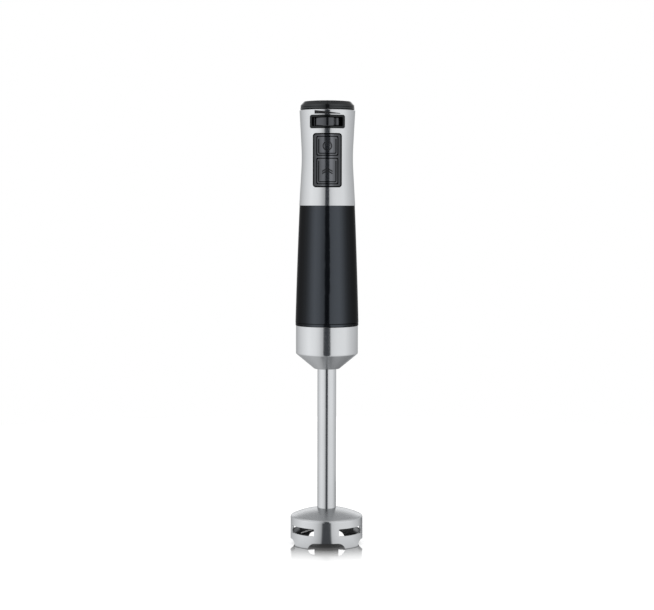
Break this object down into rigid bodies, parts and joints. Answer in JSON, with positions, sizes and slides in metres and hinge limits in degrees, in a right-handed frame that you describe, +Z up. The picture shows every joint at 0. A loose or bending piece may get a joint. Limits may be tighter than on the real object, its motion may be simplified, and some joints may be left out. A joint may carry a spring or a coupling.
{
  "type": "immersion blender",
  "caption": "Upright immersion blender: waisted steel handle with speed wheel and buttons, black grip sleeve, and a removable steel foot ending in a slotted blade guard.",
  "frame": {"origin": "on the floor under the blender, on its axis", "axes": "+Z up the axis of the blender; the buttons and the speed wheel face -Y"},
  "size_m": [0.0636, 0.0636, 0.3895],
  "materials": {
    "satin_steel": "satin",
    "machined_steel": "machined",
    "black_gloss": "gloss",
    "black_satin": "satin",
    "grey_plastic": "satin",
    "soft_rubber": "matte",
    "inner_plastic": "moulded",
    "bronze": "sintered",
    "copper": "lacquered",
    "core_iron": "laminated",
    "carbon": "matte",
    "board_green": "satin",
    "sink_aluminium": "plain"
  },
  "bodies": {
    "motor_unit": {"top_cap": "black_satin", "cord_gland": "soft_rubber", "steel_shell": "satin_steel", "grip_sleeve": "black_gloss", "dial_frame": "black_gloss", "button_frame": "black_satin", "chassis_front": "inner_plastic", "chassis_rear": "inner_plastic", "chassis_screws": "machined_steel", "coupling_spigot": "black_satin", "base_screws": "machined_steel", "drive_end_bracket": "sink_aluminium", "lower_bearing": "bronze", "stator_core": "core_iron", "field_coils": "copper", "brush_bracket": "inner_plastic", "brush_holders": "bronze", "carbon_brushes": "carbon", "brush_springs": "machined_steel", "upper_bearing": "bronze", "motor_bolts": "machined_steel", "motor_leads": "soft_rubber", "control_board": "board_green", "switches": "black_satin", "speed_control": "inner_plastic", "film_capacitor": "black_gloss", "heat_sink": "sink_aluminium", "power_spring": "machined_steel", "boost_spring": "machined_steel"},
    "rotor": {"rotor_shaft": "machined_steel", "armature_core": "core_iron", "armature_winding": "copper", "commutator": "copper", "cooling_fan": "inner_plastic", "motor_dog": "inner_plastic"},
    "joint_seal": {"joint_ring": "soft_rubber"},
    "blending_foot": {"coupling_bell": "satin_steel", "coupling_socket": "inner_plastic", "shaft_tube": "satin_steel", "blade_guard": "satin_steel", "upper_bush": "bronze", "lower_bush": "bronze", "shaft_seal": "soft_rubber", "thrust_washer": "machined_steel"},
    "blade_drive": {"drive_shaft": "machined_steel", "shaft_dog": "inner_plastic", "blade_collar": "inner_plastic", "blade": "machined_steel", "blade_nut": "machined_steel"},
    "upper_button": {"power_button": "grey_plastic", "power_plunger": "inner_plastic"},
    "lower_button": {"boost_button": "grey_plastic", "boost_plunger": "inner_plastic"},
    "speed_dial": {"speed_wheel": "black_gloss"}
  },
  "joints": [
    {"name": "rotor_spin", "type": "hinge", "parent": "motor_unit", "child": "rotor", "pos_m": [0, 0, 0.2], "axis": [0, 0, 1], "continuous": true},
    {"name": "handle_lift", "type": "slide", "parent": "blending_foot", "child": "joint_seal", "axis": [0, 0, 1], "range_m": [0, 0.06]},
    {"name": "handle_twist", "type": "hinge", "parent": "joint_seal", "child": "motor_unit", "pos_m": [0, 0, 0.19], "axis": [0, 0, -1], "range_deg": [0, 30]},
    {"name": "blade_spin", "type": "hinge", "parent": "blending_foot", "child": "blade_drive", "pos_m": [0, 0, 0.1], "axis": [0, 0, 1], "continuous": true},
    {"name": "power_press", "type": "slide", "parent": "motor_unit", "child": "upper_button", "axis": [0, 1, 0], "range_m": [0, 0.0015], "stiffness_N_per_m": 600, "springref_m": -0.002, "deforming": ["power_spring"]},
    {"name": "boost_press", "type": "slide", "parent": "motor_unit", "child": "lower_button", "axis": [0, 1, 0], "range_m": [0, 0.0015], "stiffness_N_per_m": 600, "springref_m": -0.002, "deforming": ["boost_spring"]},
    {"name": "speed_turn", "type": "hinge", "parent": "motor_unit", "child": "speed_dial", "pos_m": [0, -0.01173, 0.37032], "axis": [0, 0, 1], "range_deg": [-135, 135]}
  ],
  "couplings": [
    {"joint": "blade_spin", "follows": "rotor_spin", "ratio": 1}
  ]
}
